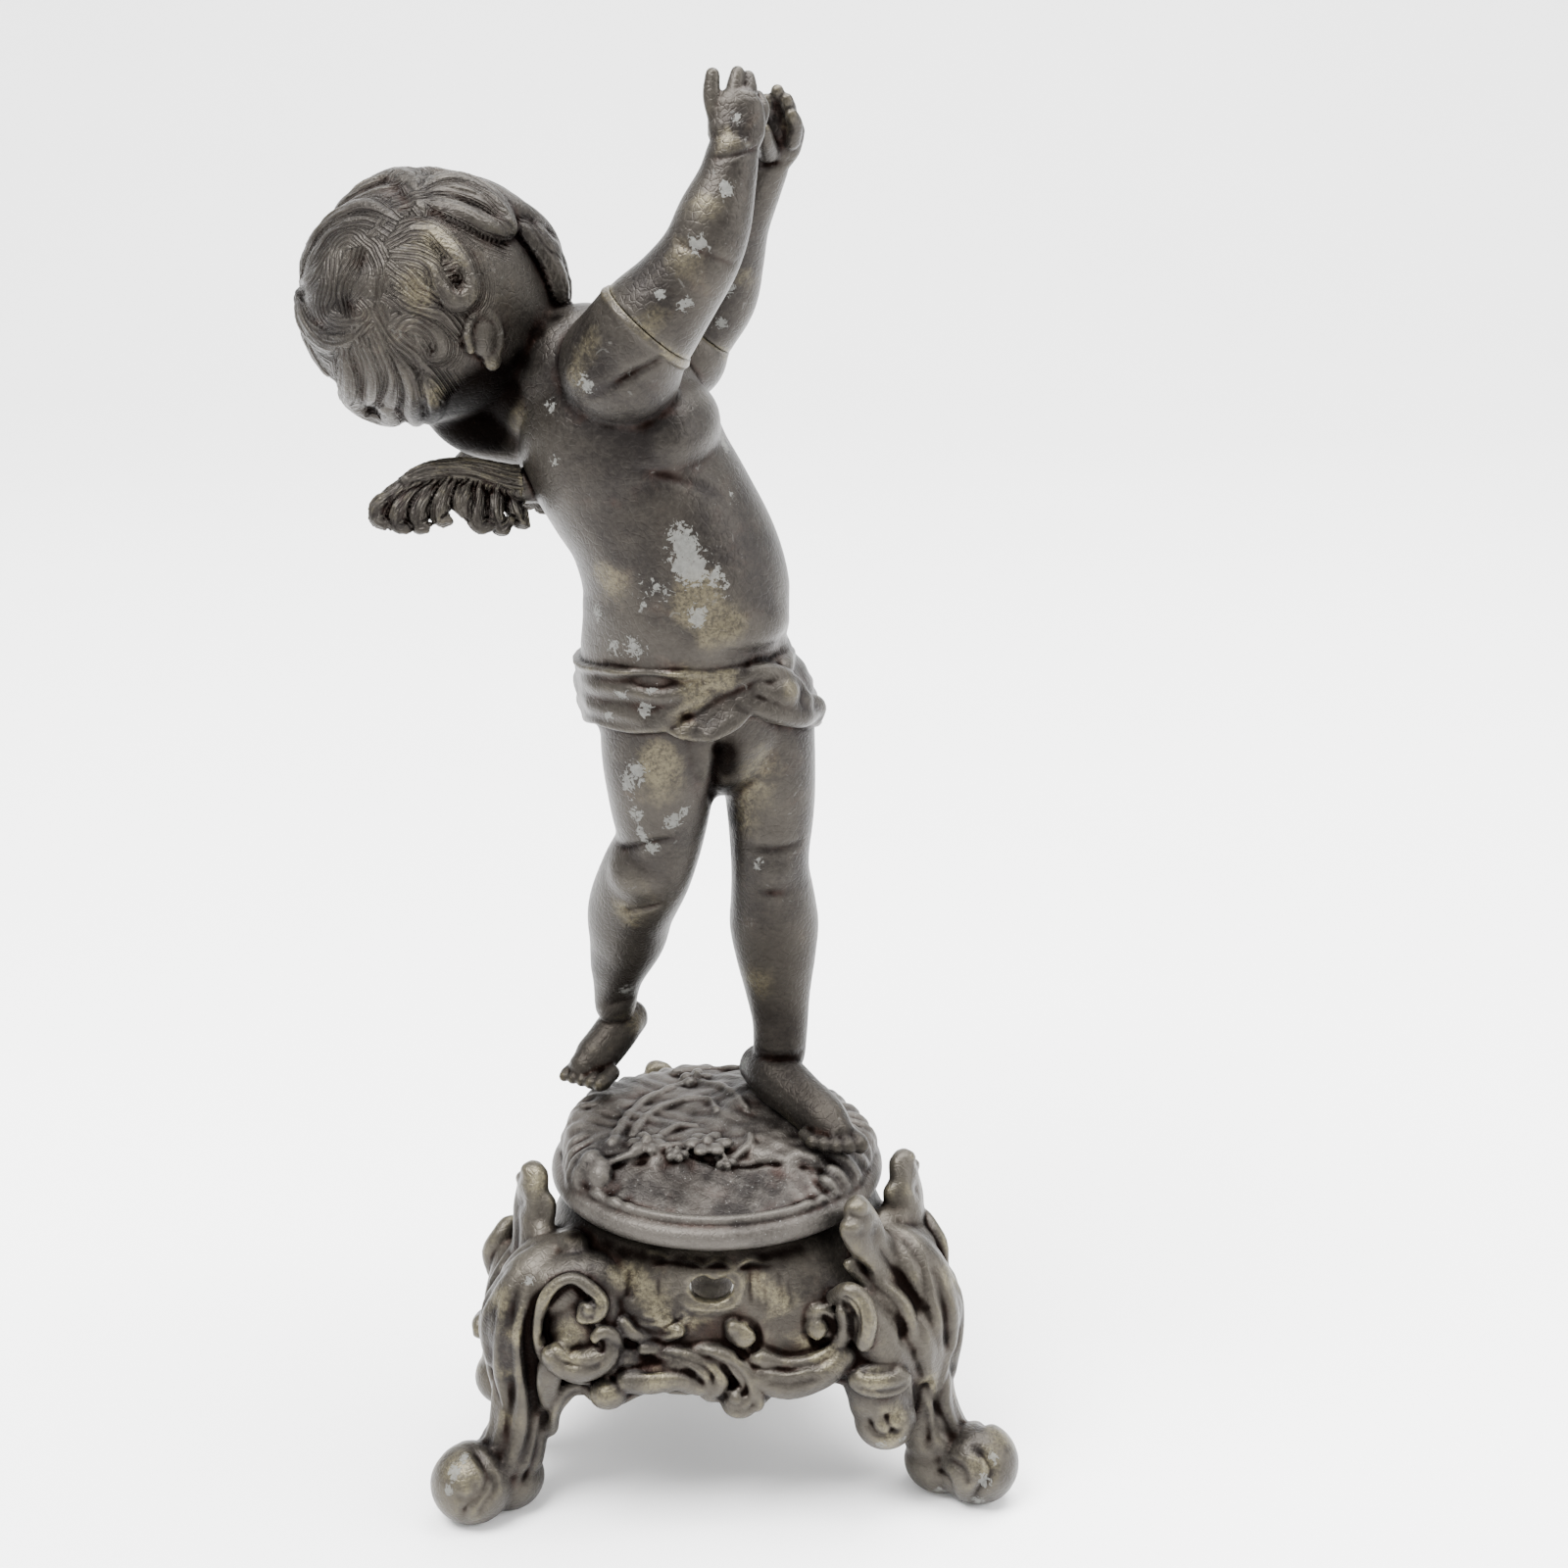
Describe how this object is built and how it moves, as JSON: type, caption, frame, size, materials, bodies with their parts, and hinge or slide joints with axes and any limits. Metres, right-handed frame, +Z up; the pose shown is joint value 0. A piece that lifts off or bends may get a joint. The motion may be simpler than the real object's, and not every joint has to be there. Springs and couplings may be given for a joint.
{
  "type": "spelter cherub statue",
  "caption": "Patinated spelter cherub with raised arms, small wings and a loincloth, standing on a rocky mound and a pierced base with scroll feet.",
  "frame": {"origin": "middle of the outer box, on the surface that the feet stand on", "axes": "+Z up; the chest and belly face +X, the wings and the head's back are towards -X, the right arm is nearest to -Y"},
  "size_m": [0.1832, 0.1426, 0.3711],
  "materials": {
    "figure": "dark patina, worn satin",
    "wings": "dark patina, rubbed satin",
    "mound": "dark patina, dull",
    "base": "dark patina, rubbed satin"
  },
  "bodies": {
    "root": {"cherub_body": "figure", "right_arm": "figure", "left_arm": "figure", "right_wing": "wings", "left_wing": "wings", "ground": "mound", "footed_base": "base"}
  },
  "joints": []
}
